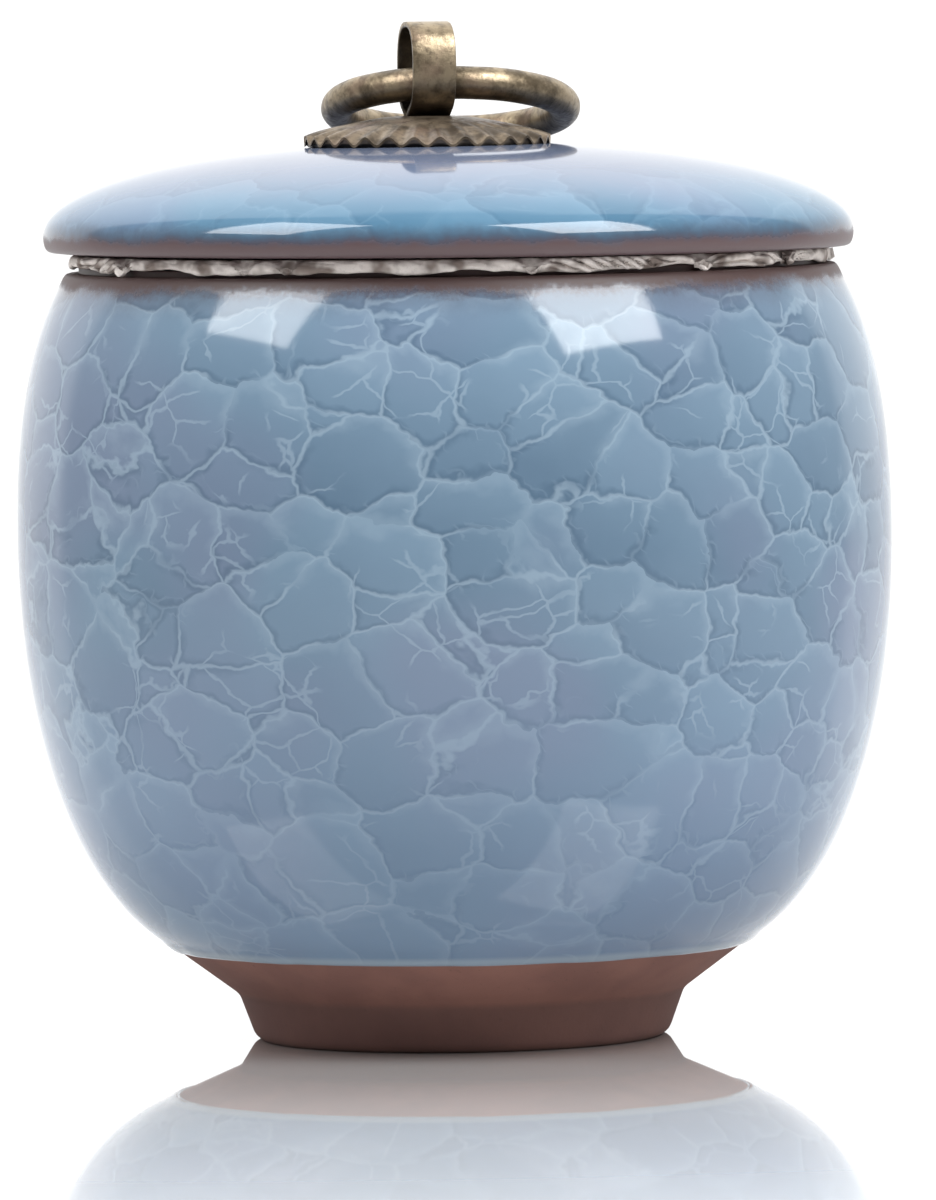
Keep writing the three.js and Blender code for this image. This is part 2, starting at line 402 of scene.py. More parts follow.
def clayColour(tree, place, tint):
    grit = cloud(tree, place, 0.8, 4.0, 0.7).outputs[0]
    blots = cloud(tree, place, 9, 3.0).outputs[0]
    colour = mix(tree, fade(tree, blots, 0.35, 0.65), tint["clay"], tint["clayWarm"])
    return mix(tree, fade(tree, grit, 0.6, 0.75, 0.0, 0.4), colour, tint["clayGrit"]), grit


# The jar, from the foot up and back down inside.
jarLow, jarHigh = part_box("urn_body")
jar = dict(
    bellyRadius=(jarHigh.x - jarLow.x) / 2 / mm,
    bellyHeight=58,
    bellyLowerReach=19.9,
    bellyUpperReach=12.7,
    glazeRadius=33.2,
    glazeHeight=11,
    glazeReach=13.8,
    glazeSlope=30.4,
    glazeThickness=0.4,
    shoulderRadius=44.9,
    shoulderHeight=86.3,
    shoulderReach=7.7,
    shoulderSlope=63.1,
    ledgeRadius=43.7,
    ledgeHeight=88.1,
    neckRadius=42.5,
    neckTop=jarHigh.z / mm,
    mouthRadius=38.2,
    wall=4.2,
    floorHeight=8,
    floorRadius=20,
    footRadius=25.5,
    footHeight=5.4,
    footBaseRadius=23.6,
    footInner=19,
    recess=2,
    segments=320,
    droop=0.5,  # how unevenly the glaze's lower edge hangs
    droopHeight=11.3,
    droopReach=1.4,
)


def jarOutline():
    j = jar
    outline = [(0, j["recess"])]
    lineTo(outline, (j["footInner"] - 0.9, j["recess"]), 3)
    roundTo(outline, (j["footInner"], j["recess"]), (j["footInner"], j["recess"] - 0.9))
    lineTo(outline, (j["footInner"], 0.5))
    roundTo(outline, (j["footInner"], 0), (j["footInner"] + 0.5, 0))
    lineTo(outline, (j["footBaseRadius"] - 1.4, 0), 2)
    roundTo(outline, (j["footBaseRadius"], 0), (j["footBaseRadius"] + 0.45, 1.4), 6)
    lineTo(outline, (j["footRadius"] - 0.2, j["footHeight"] - 0.6), 4)
    cone = (j["footRadius"] + 0.7, j["footHeight"] + 0.5)
    roundTo(outline, (j["footRadius"], j["footHeight"]), cone, 5)
    glazeFoot = (j["glazeRadius"] - 0.45, j["glazeHeight"] - 0.25)
    lineTo(outline, glazeFoot, 10)

    # the glaze ends in a thick rolled edge
    thick = j["glazeThickness"]
    start = (j["glazeRadius"], j["glazeHeight"])
    startRun = along(j["glazeReach"], j["glazeSlope"])
    lower = [start]
    curveTo(
        lower,
        (start[0] + startRun[0], start[1] + startRun[1]),
        (j["bellyRadius"], j["bellyHeight"] - j["bellyLowerReach"]),
        (j["bellyRadius"], j["bellyHeight"]),
        76,
    )
    curveTo(
        outline,
        (glazeFoot[0] + 0.25, glazeFoot[1] - thick * 1.2),
        (lower[3][0] - 0.75, lower[3][1] - 0.75),
        lower[3],
        6,
    )
    outline.extend(lower[4:])
    upper = [lower[-1]]
    endRun = along(j["shoulderReach"], j["shoulderSlope"])
    shoulder = (j["shoulderRadius"], j["shoulderHeight"])
    curveTo(
        upper,
        (j["bellyRadius"], j["bellyHeight"] + j["bellyUpperReach"]),
        (shoulder[0] + endRun[0], shoulder[1] - endRun[1]),
        shoulder,
        46,
    )
    outline.extend(upper[1:])
    curveTo(
        outline,
        (shoulder[0] - 0.36, shoulder[1] + 0.72),
        (j["ledgeRadius"] + 0.55, j["ledgeHeight"]),
        (j["ledgeRadius"], j["ledgeHeight"]),
        7,
    )
    lineTo(outline, (j["neckRadius"] + 0.2, j["ledgeHeight"]))
    roundTo(
        outline,
        (j["neckRadius"], j["ledgeHeight"]),
        (j["neckRadius"], j["ledgeHeight"] + 0.2),
        3,
    )
    lineTo(outline, (j["neckRadius"], j["neckTop"] - 0.2))
    roundTo(outline, (j["neckRadius"], j["neckTop"]), (j["neckRadius"] - 0.2, j["neckTop"]), 3)
    lineTo(outline, (j["mouthRadius"] + 0.5, j["neckTop"]))
    roundTo(outline, (j["mouthRadius"], j["neckTop"]), (j["mouthRadius"], j["neckTop"] - 0.5), 4)
    lineTo(outline, (j["mouthRadius"], j["shoulderHeight"]), 2)

    # inner wall, down to the floor
    inner = inset([*lower[:-1:6], *upper[::6]], j["wall"])
    outline.extend(reversed(inner))
    curveTo(
        outline,
        (inner[0][0] - 3.5, inner[0][1] - 2.0),
        (j["floorRadius"] + 5, j["floorHeight"]),
        (j["floorRadius"], j["floorHeight"]),
        8,
    )
    lineTo(outline, (0, j["floorHeight"]), 3)
    return outline


jarTint = dict(
    deep=paint(91, 114, 135),
    light=paint(113, 137, 157),
    lavender=paint(112, 120, 144),
    low=paint(117, 144, 175),
    shadow=paint(63, 86, 109),
    pale=paint(151, 171, 186),
    clay=paint(127, 88, 79),
    clayWarm=paint(140, 98, 87),
    clayGrit=paint(88, 64, 58),
    clayLow=paint(100, 76, 73),
    rim=paint(74, 55, 53),
    dulled=paint(92, 98, 112),
    edge=paint(150, 166, 178),
    linePale=0.5,
    paintedLineShade=0.42,
)


def jarMaterial():
    material, tree, shader, place = newMaterial("jarGlazeAndClay")
    colour = glazeColour(tree, place, jarTint)
    height = heightOf(tree, place)
    colour = mix(tree, fade(tree, height, 10, 62, 0.5, 0.0), colour, jarTint["low"])
    wander = cloud(tree, place, 6, 2.0).outputs[0]
    speck = cloud(tree, place, 0.6, 3.0, 0.75).outputs[0]

    # bare clay shows through where the glaze thins at the shoulder
    ragged = wobble(tree, wobble(tree, height, wander, 1.8), speck, 1.5)
    shoulder = jar["shoulderHeight"]
    bare = fade(tree, ragged, shoulder - 0.9, shoulder + 1.1)
    dulled = fade(tree, ragged, shoulder - 3, shoulder + 0.3, 0.0, 0.45)
    colour = mix(tree, dulled, colour, jarTint["dulled"])
    colour = mix(tree, bare, colour, jarTint["rim"])

    # pale rolled edge above the clay foot
    edge = jar["glazeHeight"]
    rolled = fade(tree, height, edge + 0.1, edge + 0.8, 0.7, 0.0)
    colour = mix(tree, rolled, colour, jarTint["edge"])
    clay, grit = clayColour(tree, place, jarTint)
    foot = fade(tree, height, jar["footHeight"] - 0.4, jar["footHeight"] + 0.6, 0.5, 0.0)
    clay = mix(tree, foot, clay, jarTint["clayLow"])
    glazed = fade(tree, height, edge - 0.42, edge - 0.32)
    colour = mix(tree, glazed, clay, colour)
    tree.links.new(colour, shader.inputs["Base Color"])

    gloss = fade(tree, bare, 0.3, 1.0, 0.08, 0.5)
    rough = add(
        tree, "ShaderNodeMix", {0: glazed, 2: 0.78, 3: gloss}, data_type="FLOAT"
    ).outputs[0]
    tree.links.new(rough, shader.inputs["Roughness"])
    ripple = maths(tree, "MULTIPLY", speck, fade(tree, height, shoulder - 4, shoulder, 0.03, 0.25))
    relief = add(
        tree, "ShaderNodeMix", {0: glazed, 2: grit, 3: ripple}, data_type="FLOAT"
    ).outputs[0]
    bump = add(
        tree, "ShaderNodeBump", {"Height": relief, "Strength": 0.35, "Distance": 0.12 * mm}
    )
    tree.links.new(bump.outputs[0], shader.inputs["Normal"])
    return material


def glazeEdge(x, y, z):
    # the band about the glaze's lower edge, outside the foot
    if math.hypot(x, y) <= 31 or z >= 13:
        return 0
    return 1 - abs(z - jar["droopHeight"]) / jar["droopReach"]


jarPiece = spinOutline("jar", jarOutline(), jar["segments"])
displace(jarPiece, weigh(jarPiece, "glazeEdge", glazeEdge), jar["droop"], "Z", 0.5, 7, 2)
finishPiece(jarPiece, jarMaterial(), "body_glaze", "urn", "urn_body")


# The domed lid.
lid = dict(
    shift=-0.2,
    lean=0.35,
    under=90.3,
    radius=46.3,
    edgeHeight=1.5,
    edgeInset=0.5,
    domeRise=10.67,
    edgeTurnRadius=45.75,
    edgeTurnRise=2.0,
    edgeSlope=58,
    bendReach=3.6,
    domeReach=33,
    wall=4,
    flangeRadius=36.7,
    flangeWidth=3.5,
    flangeDepth=6,
    holeRadius=3.3,
    segments=320,
)
lid["edge"] = lid["under"] + lid["edgeHeight"]
lid["top"] = lid["edge"] + lid["domeRise"]
bossX = -2.5  # the pull sits left of the middle


def crown(outline, edgeSteps, domeSteps):
    # from the widest point, round the thick edge and over the dome
    d = lid
    run, rise = along(1, d["edgeSlope"])
    bend = (d["edgeTurnRadius"], d["edge"] + d["edgeTurnRise"])
    curveTo(
        outline,
        (d["radius"], d["edge"] + d["edgeTurnRise"] * 0.4),
        (bend[0] + run * 0.6, bend[1] - rise * 0.6),
        bend,
        edgeSteps,
    )
    curveTo(
        outline,
        (bend[0] - run * d["bendReach"], bend[1] + rise * d["bendReach"]),
        (d["domeReach"], d["top"]),
        (0, d["top"]),
        domeSteps,
    )


def lidOutline():
    d = lid
    flangeInner = d["flangeRadius"] - d["flangeWidth"]
    domeUnder = d["top"] - d["wall"]
    flangeBottom = d["under"] - d["flangeDepth"]
    outline = [(0, domeUnder)]
    curveTo(
        outline,
        (flangeInner * 0.55, domeUnder),
        (flangeInner * 0.85, domeUnder - 1),
        (flangeInner, d["edge"] + 2),
        16,
    )
    lineTo(outline, (flangeInner, flangeBottom + 0.6), 3)
    roundTo(outline, (flangeInner, flangeBottom), (flangeInner + 0.6, flangeBottom))
    lineTo(outline, (d["flangeRadius"] - 0.6, flangeBottom))
    roundTo(outline, (d["flangeRadius"], flangeBottom), (d["flangeRadius"], flangeBottom + 0.6))
    lineTo(outline, (d["flangeRadius"], d["under"] - 0.4), 3)
    roundTo(outline, (d["flangeRadius"], d["under"]), (d["flangeRadius"] + 0.4, d["under"]))
    lineTo(outline, (d["radius"] - d["edgeInset"] - 0.4, d["under"]), 4)
    roundTo(
        outline,
        (d["radius"] - d["edgeInset"] * 0.2, d["under"]),
        (d["radius"], d["edge"]),
        8,
    )
    crown(outline, 20, 76)
    return outline


def cutStrapHole(piece):
    # a round punch through the crown
    bpy.ops.object.select_all(action="DESELECT")
    bpy.ops.mesh.primitive_cylinder_add(
        vertices=64,
        radius=lid["holeRadius"] * mm,
        depth=4 * lid["wall"] * mm,
        location=(bossX * mm, 0, lid["top"] * mm),
    )
    punch = bpy.context.object
    cut = piece.modifiers.new("strapHole", "BOOLEAN")
    cut.operation = "DIFFERENCE"
    cut.solver = "EXACT"
    cut.object = punch
    bpy.context.view_layer.objects.active = piece
    bpy.ops.object.modifier_apply(modifier=cut.name)
    bpy.data.objects.remove(punch)


lidTint = dict(
    deep=paint(72, 110, 136),
    light=paint(90, 127, 152),
    lavender=paint(100, 118, 146),
    # painted reflection colour of the crown
    crown=paint(116, 118, 140),
    shadow=paint(56, 88, 114),
    pale=paint(118, 150, 172),
    rim=paint(84, 66, 68),
    band=paint(66, 76, 92),
    linePale=0.22,
    paintedLineShade=0.2,
)


def lidMaterial():
    material, tree, shader, place = newMaterial("lidGlaze")
    colour = glazeColour(tree, place, lidTint)
    across = add(tree, "ShaderNodeSeparateXYZ", {0: place})
    fall = math.tan(math.radians(lid["lean"]))
    height = maths(tree, "DIVIDE", across.outputs["Z"], mm)
    level = maths(tree, "MULTIPLY_ADD", across.outputs["X"], fall / mm, height)
    wander = cloud(tree, place, 5, 2.0, 0.6).outputs[0]
    speck = cloud(tree, place, 0.9, 3.0, 0.7).outputs[0]
    wavy = wobble(tree, wobble(tree, level, wander, 1.6), speck, 0.8)
    edge = lid["edge"]
    # painted reflection: the crown is painted greyer and more lavender to stand for the pale room
    # reflected in it
    crownReflectionShare = fade(tree, wavy, edge + 3.5, lid["top"] - 1, 0.0, 0.7)
    colour = mix(tree, crownReflectionShare, colour, lidTint["crown"])
    greyed = fade(tree, wavy, edge + 0.3, edge + 2.6, 0.9, 0.0)
    bare = fade(tree, wavy, edge - 0.4, edge + 1.0, 1.0, 0.0)
    colour = mix(tree, greyed, colour, lidTint["band"])
    colour = mix(tree, bare, colour, lidTint["rim"])
    tree.links.new(colour, shader.inputs["Base Color"])
    gloss = fade(tree, bare, 0.0, 1.0, 0.08, 0.4)
    tree.links.new(gloss, shader.inputs["Roughness"])
    relief = maths(tree, "MULTIPLY", speck, fade(tree, bare, 0.0, 1.0, 0.05, 0.5))
    bump = add(
        tree, "ShaderNodeBump", {"Height": relief, "Strength": 0.35, "Distance": 0.12 * mm}
    )
    tree.links.new(bump.outputs[0], shader.inputs["Normal"])
    return material


lidPiece = spinOutline("lid", lidOutline(), lid["segments"])
bpy.ops.object.mode_set(mode="EDIT")
bpy.ops.mesh.select_all(action="SELECT")
bpy.ops.transform.translate(value=(lid["shift"] * mm, 0, 0))
bpy.ops.object.mode_set(mode="OBJECT")
cutStrapHole(lidPiece)
settle(lidPiece, 1)
finishPiece(lidPiece, lidMaterial(), "lid_glaze", "urn", "lid")


# The cloth squeezed between jar and lid.
cloth = dict(
    inner=38.6,
    skirtInner=42.75,
    skirtOuter=43.6,
    bottom=88.3,
    layerBottom=89.15,
    top=90.05,
    segments=900,
    foldDepth=0.9,
    foldPitch=3.4,
    foldLean=0.7,
    skirtStart=42.95,  # the folds grow from this radius
    skirtBlend=0.45,
    hemStart=42.6,
    hemRise=0.75,
    hemBlend=1.1,
    notchWidth=3.6,
    gapDrop=0.85,
    gapWidth=2.0,
    gapDent=0.65,
    dentWidth=1.1,
    crumple=0.75,
    crumpleSize=2.6,
    twists=((-78, -54), (12, 70), (104, 150), (-160, -112)),  # azimuths, 0 is the front
    gaps=(-58.5, -32.2, -25, 12, 40.8, 61, 96, 133, -104, -141),
    notches=(-33.5, -23, 12.5, 92, -100),
)


def clothOutline():
    c = cloth
    middle = (c["bottom"] + c["top"]) / 2
    outline = [(c["skirtInner"], c["layerBottom"])]
    lineTo(outline, (c["skirtInner"], c["bottom"] + 0.4), 2)
    roundTo(outline, (c["skirtInner"], c["bottom"]), (c["skirtInner"] + 0.4, c["bottom"]), 3)
    roundTo(outline, (c["skirtOuter"], c["bottom"]), (c["skirtOuter"], middle), 10)
    roundTo(outline, (c["skirtOuter"], c["top"]), (c["skirtInner"] + 0.2, c["top"]), 10)
    lineTo(outline, (c["inner"], c["top"]), 6)
    lineTo(outline, (c["inner"], c["layerBottom"]), 2)
    lineTo(outline, (c["skirtInner"], c["layerBottom"]), 6)
    return outline


def azimuth(x, y):
    return math.degrees(math.atan2(x, -y))


def skirtShare(x, y):
    c = cloth
    return min(max((math.hypot(x, y) - c["skirtStart"]) / c["skirtBlend"], 0), 1)


def twist(x, y, z):
    # slanting grooves of the twisted stretches, fading out at their ends
    angle = azimuth(x, y)
    depth = 0.12
    for start, end in cloth["twists"]:
        depth = max(depth, min((angle - start) / 4, (end - angle) / 4, 1))
    length = math.radians(angle) * cloth["skirtOuter"]
    pitch = cloth["foldPitch"] * (1 + 0.25 * math.sin(length / 5.3))
    phase = length / pitch + cloth["foldLean"] * (z - cloth["bottom"])
    groove = 1 - abs(math.sin(phase * math.pi)) ** 0.5
    return skirtShare(x, y) * groove * depth


def pinch(places, width):
    # narrow dents at the given azimuths
    def depth(x, y, z):
        angle = azimuth(x, y)
        return skirtShare(x, y) * max(math.exp(-(((angle - at) / width) ** 2)) for at in places)

    return depth


def hem(x, y, z):
    # the lower edge swings up between its notches
    if math.hypot(x, y) < cloth["hemStart"]:
        return 0
    low = 1 - min(max((z - cloth["bottom"]) / cloth["hemBlend"], 0), 1)
    angle = azimuth(x, y)
    swing = 0.45 + 0.35 * math.sin(angle / 4.6) + 0.2 * math.sin(angle / 1.9 + 1)
    for at in cloth["notches"]:
        swing *= 1 - 0.9 * math.exp(-(((angle - at) / cloth["notchWidth"]) ** 2))
    return low * swing


def sag(x, y, z):
    # the upper edge drops away from the lid at the gaps
    if math.hypot(x, y) < cloth["hemStart"]:
        return 0
    high = min(max((z - cloth["bottom"] - 0.6) / 1.0, 0), 1)
    angle = azimuth(x, y)
    width = cloth["gapWidth"]
    return high * max(math.exp(-(((angle - at) / width) ** 2)) for at in cloth["gaps"])


clothTint = dict(
    fold=paint(144, 131, 124),
    cream=paint(238, 230, 224),
    thread=paint(160, 150, 144),
)


def clothMaterial():
    material, tree, shader, place = newMaterial("creamCloth")
    fold = cloud(tree, place, 3.2, 2.0, 0.5).outputs[0]
    thread = cloud(tree, place, 0.35, 3.0, 0.7).outputs[0]
    colour = mix(tree, fade(tree, fold, 0.34, 0.54), clothTint["fold"], clothTint["cream"])
    colour = mix(tree, fade(tree, thread, 0.5, 0.72, 0.0, 0.22), colour, clothTint["thread"])
    tree.links.new(colour, shader.inputs["Base Color"])
    tree.links.new(fade(tree, fold, 0.3, 0.7, 0.95, 0.8), shader.inputs["Roughness"])
    relief = maths(tree, "MULTIPLY_ADD", thread, 0.4, fold)
    bump = add(tree, "ShaderNodeBump", {"Height": relief, "Strength": 0.5, "Distance": 0.25 * mm})
    tree.links.new(bump.outputs[0], shader.inputs["Normal"])
    return material


clothPiece = spinOutline("clothSeal", clothOutline(), cloth["segments"])
displace(clothPiece, weigh(clothPiece, "hem", hem), cloth["hemRise"], "Z")
displace(clothPiece, weigh(clothPiece, "sag", sag), -cloth["gapDrop"], "Z")
displace(clothPiece, weigh(clothPiece, "twists", twist), -cloth["foldDepth"])
gapDents = weigh(clothPiece, "gaps", pinch(cloth["gaps"], cloth["dentWidth"]))
displace(clothPiece, gapDents, -cloth["gapDent"])
skirt = weigh(clothPiece, "skirt", lambda x, y, z: skirtShare(x, y))
displace(clothPiece, skirt, cloth["crumple"], "NORMAL", 0.6, cloth["crumpleSize"], 1)
settle(clothPiece, 0.5)
finishPiece(clothPiece, clothMaterial(), "cloth", "urn", "cloth_seal")


# The brass pull: rosette, strap and ring.
def domeHeight(radius):
    # height of the lid's crown at a distance from its own axis
    dome = [(lid["radius"], lid["edge"])]
    crown(dome, 10, 300)
    return min(dome, key=lambda place: abs(place[0] - radius))[1]


def buildPatina():
    # patches of polish and tarnish, with grime and a reddish cast
    tints = ("dark", "bright", "grime", "copper")
    group, given, out = newGroup(
        "agedBrass",
        [("place", "NodeSocketVector"), *((tint, "NodeSocketColor") for tint in tints)],
        [
            ("colour", "NodeSocketColor"),
            ("scuff", "NodeSocketFloat"),
            ("relief", "NodeSocketFloat"),
        ],
    )
    place = given.outputs["place"]
    dark, bright, grime, copper = (given.outputs[tint] for tint in tints)
    patina = cloud(group, place, 3.2, 4.0, 0.65).outputs[0]
    scuff = cloud(group, place, 0.7, 3.0, 0.7).outputs[0]
    reddish = cloud(group, place, 6.0, 2.0).outputs[0]
    colour = mix(group, fade(group, patina, 0.36, 0.62), dark, bright)
    colour = mix(group, fade(group, scuff, 0.55, 0.75, 0.0, 0.55), colour, grime)
    colour = mix(group, fade(group, reddish, 0.52, 0.7, 0.0, 0.45), colour, copper)
    relief = maths(group, "MULTIPLY_ADD", patina, 0.5, scuff)
    group.links.new(colour, out.inputs["colour"])
    group.links.new(scuff, out.inputs["scuff"])
    group.links.new(relief, out.inputs["relief"])
    return group


patinaGroup = buildPatina()


def brassMaterial(name, tint, stain):
    # the last argument gives where painted shade darkens the brass, and how much
    material, tree, shader, place = newMaterial(name)
    inputs = {key: colour for key, colour in tint.items() if key != "stain"}
    worn = useGroup(tree, patinaGroup, {"place": place, **inputs}).outputs
    # painted shade: the worn brass is darkened towards the shade colour where that mask is high
    colour = mix(tree, stain(tree, place), worn["colour"], tint["stain"])
    tree.links.new(colour, shader.inputs["Base Color"])
    shader.inputs["Metallic"].default_value = 0.75
    tree.links.new(fade(tree, worn["scuff"], 0.35, 0.7, 0.32, 0.52), shader.inputs["Roughness"])
    bump = add(
        tree,
        "ShaderNodeBump",
        {"Height": worn["relief"], "Strength": 0.3, "Distance": 0.15 * mm},
    )
    tree.links.new(bump.outputs[0], shader.inputs["Normal"])
    return material


brassTint = dict(
    dark=paint(98, 86, 68),
    bright=paint(164, 148, 122),
    grime=paint(60, 52, 45),
    copper=paint(138, 112, 98),
    # the last colour is the painted shade, for the loop's inside and foot and the rod's underside
    stain=paint(42, 36, 31),
)


rosette = dict(
    radius=14.1,
    top=lid["top"] + 3,
    sheet=0.3,
    flutes=30,
    fluteHeight=0.9,
    fluteStart=7,  # the flutes grow from this radius
    collarRadius=13.65,
    seatGap=0.12,
)
rosetteTint = dict(
    dark=paint(78, 68, 56),
    bright=paint(134, 120, 102),
    grime=paint(48, 42, 38),
    copper=paint(118, 98, 88),
    # the last colour is the painted shade for the hollow under the fluted rim
    stain=paint(16, 13, 12),
)


def rosetteSeat():
    return domeHeight(rosette["radius"] + abs(bossX - lid["shift"])) + rosette["seatGap"]


def rimHollowShade(tree, place):
    # painted shade: the hollow behind the fluted rim is painted near black
    local = shift(tree, place, (-bossX * mm, 0, -rosetteSeat() * mm))
    rise = add(tree, "ShaderNodeSeparateXYZ", {0: local}).outputs["Z"]
    flat = add(
        tree, "ShaderNodeVectorMath", {0: local, 1: (1, 1, 0)}, operation="MULTIPLY"
    ).outputs[0]
    radius = add(tree, "ShaderNodeVectorMath", {0: flat}, operation="LENGTH").outputs["Value"]
    rim = rosette["collarRadius"] * mm
    inside = fade(tree, radius, rim + 0.05 * mm, rim + 0.2 * mm, 1.0, 0.0)
    low = fade(tree, rise, 0.4 * mm, 0.6 * mm, 1.0, 0.0)
    return maths(tree, "MULTIPLY", inside, low)


def makeRosette():
    r = rosette
    seat = rosetteSeat()
    sheet = r["sheet"]
    top = r["top"]
    collar = r["collarRadius"]
    rim = (r["radius"], seat + sheet)
    upper = [(0, top)]
    lineTo(upper, (2, top), 2)
    curveTo(upper, (6.4, top), (rim[0] - 2.7, rim[1] + 1.9), rim, 34)
    lower = [(radius, height - sheet) for radius, height in upper]
    within = [place for place in lower if place[0] < collar - 0.4]
    beyond = [place for place in lower if place[0] > collar]

    # a collar under the sheet closes it off behind the fluted rim
    outline = [*within, (collar - 0.3, seat), (collar, seat), *beyond, *reversed(upper)]
    piece = spinOutline("rosette", outline, r["flutes"] * 16)
    start = r["fluteStart"]

    def wave(x, y, z):
        radius = math.hypot(x, y)
        reach = max((radius - start) / (r["radius"] - start), 0)
        if radius < collar + 0.1 and z < seat + 0.1:
            return 0
        return reach**2 * (0.5 + 0.5 * math.cos(r["flutes"] * math.atan2(y, x)))

    displace(piece, weigh(piece, "flutes", wave), r["fluteHeight"], "Z")
    bpy.ops.object.mode_set(mode="EDIT")
    bpy.ops.mesh.select_all(action="SELECT")
    bpy.ops.transform.translate(value=(bossX * mm, 0, 0))
    bpy.ops.object.mode_set(mode="OBJECT")
    return piece


rosettePiece = makeRosette()
settle(rosettePiece, 1)
rosetteBrass = brassMaterial("rosetteBrass", rosetteTint, rimHollowShade)
finishPiece(rosettePiece, rosetteBrass, "aged_brass", "urn", "rosette")


strap = dict(
    width=5,
    sheet=0.65,
    turn=11.5,
    legGap=0.3,
    footLength=6.5,
    loopHalfDepth=4.85,
    loopHalfHeight=5.25,
    loopLift=0.25,
    loopFullness=2.5,  # 2 is an ellipse, more is squarer
    edgeRound=0.14,
)
strap["loopMiddle"] = rosette["top"] + strap["loopLift"] + strap["loopHalfHeight"]


def strapPaintedShade(tree, place):
    # painted shade: darker inside the loop and towards its foot
    way = math.radians(strap["turn"])
    across = add(
        tree,
        "ShaderNodeVectorMath",
        {
            0: shift(tree, place, (-bossX * mm, 0, 0)),
            1: (-math.sin(way) / mm, math.cos(way) / mm, 0),
        },
        operation="DOT_PRODUCT",
    ).outputs["Value"]
    height = heightOf(tree, place)

    def share(value, reach):
        part = maths(tree, "DIVIDE", maths(tree, "ABSOLUTE", value), reach)
        return maths(tree, "POWER", part, strap["loopFullness"])

    sheet = strap["sheet"] / 2
    total = maths(
        tree,
        "ADD",
        share(across, strap["loopHalfDepth"] - sheet),
        share(
            maths(tree, "SUBTRACT", height, strap["loopMiddle"]), strap["loopHalfHeight"] - sheet
        ),
    )
    inside = fade(tree, total, 0.9, 1.0, 0.85, 0.0)
    low = fade(tree, height, rosette["top"] + 1, rosette["top"] + 7, 0.75, 0.0)
    return maths(tree, "MAXIMUM", inside, low)


def makeStrap():
    s = strap
    leg = (s["sheet"] + s["legGap"]) / 2
    footLevel = lid["top"] - lid["wall"] - 0.8 - s["sheet"] / 2
    half = [(s["footLength"], footLevel)]
    lineTo(half, (leg + 1, footLevel), 3)
    roundTo(half, (leg, footLevel), (leg, footLevel + 1), 6)
    lineTo(half, (leg, rosette["top"]), 4)
    deep = s["loopHalfDepth"] - s["sheet"] / 2
    tall = s["loopHalfHeight"] - s["sheet"] / 2
    steps = 56
    for i in range(7, steps + 1):
        angle = math.pi * i / steps
        out = abs(math.sin(angle)) ** (2 / s["loopFullness"])
        level = math.copysign(abs(math.cos(angle)) ** (2 / s["loopFullness"]), math.cos(angle))
        half.append((deep * out if i < steps else 0, s["loopMiddle"] - tall * level))
    line = half + [(-across, height) for across, height in reversed(half[:-1])]
    side = -s["width"] / 2
    piece = drawPath("strapLoop", [(side, across, height) for across, height in line])
    bpy.ops.mesh.select_all(action="SELECT")
    for _ in range(6):
        bpy.ops.mesh.extrude_region_move(
            TRANSFORM_OT_translate={"value": (s["width"] / 6 * mm, 0, 0)}
        )
    bpy.ops.mesh.select_all(action="SELECT")
    bpy.ops.mesh.normals_make_consistent(inside=False)
    turn(s["turn"], "Z", (0, 0, 0))
    bpy.ops.transform.translate(value=(bossX * mm, 0, 0))
    bpy.ops.object.mode_set(mode="OBJECT")
    skin = piece.modifiers.new("sheet", "SOLIDIFY")
    skin.thickness = s["sheet"] * mm
    skin.offset = 0
    skin.use_even_offset = True
    bpy.ops.object.modifier_apply(modifier=skin.name)
    soften = piece.modifiers.new("edges", "BEVEL")
    soften.width = s["edgeRound"] * mm
    soften.segments = 3
    soften.limit_method = "ANGLE"
    soften.angle_limit = math.radians(50)
    bpy.ops.object.modifier_apply(modifier=soften.name)
    return piece


strapPiece = makeStrap()
settle(strapPiece, 1)
strapBrass = brassMaterial("strapBrass", brassTint, strapPaintedShade)
finishPiece(strapPiece, strapBrass, "aged_brass", "urn", "strap_loop")


ring = dict(
    radius=13.05,
    rodRadius=1.92,
    rodForward=0.1,
    rodRise=3.45,
    shift=0.2,
    lean=13.366,
    segments=240,
    rodSegments=64,
)


def ringCentre():
    r = ring
    reach = bossX - r["shift"]
    back = math.sqrt(r["radius"] ** 2 - reach**2)
    lean = math.radians(r["lean"])
    hang = rosette["top"] + strap["loopLift"] + r["rodRise"]
    across = back * math.cos(lean) - r["rodForward"]
    return Vector((r["shift"], across, hang - back * math.sin(lean))) * mm


def ringPaintedShade(tree, place):
    # painted shade: darker on the underside of the rod
    lean = math.radians(ring["lean"])
    above = add(
        tree,
        "ShaderNodeVectorMath",
        {0: shift(tree, place, -ringCentre()), 1: (0, math.sin(lean), math.cos(lean))},
        operation="DOT_PRODUCT",
    ).outputs["Value"]
    rod = ring["rodRadius"] * mm
    return fade(tree, above, -rod, 0.1 * rod, 0.8, 0.0)


def makeRing():
    r = ring
    bpy.ops.object.select_all(action="DESELECT")
    bpy.ops.mesh.primitive_torus_add(
        major_radius=r["radius"] * mm,
        minor_radius=r["rodRadius"] * mm,
        major_segments=r["segments"],
        minor_segments=r["rodSegments"],
    )
    piece = bpy.context.object
    piece.name = "pullRing"
    piece.data.name = "pullRing"
    everywhere = weigh(piece, "rod", lambda x, y, z: 1)
    displace(piece, everywhere, 0.08, "NORMAL", 0.85, 3.5, 2)
    bpy.ops.object.mode_set(mode="EDIT")
    turn(-r["lean"], "X", (0, 0, 0))
    bpy.ops.transform.translate(value=ringCentre())
    bpy.ops.object.mode_set(mode="OBJECT")
    return piece


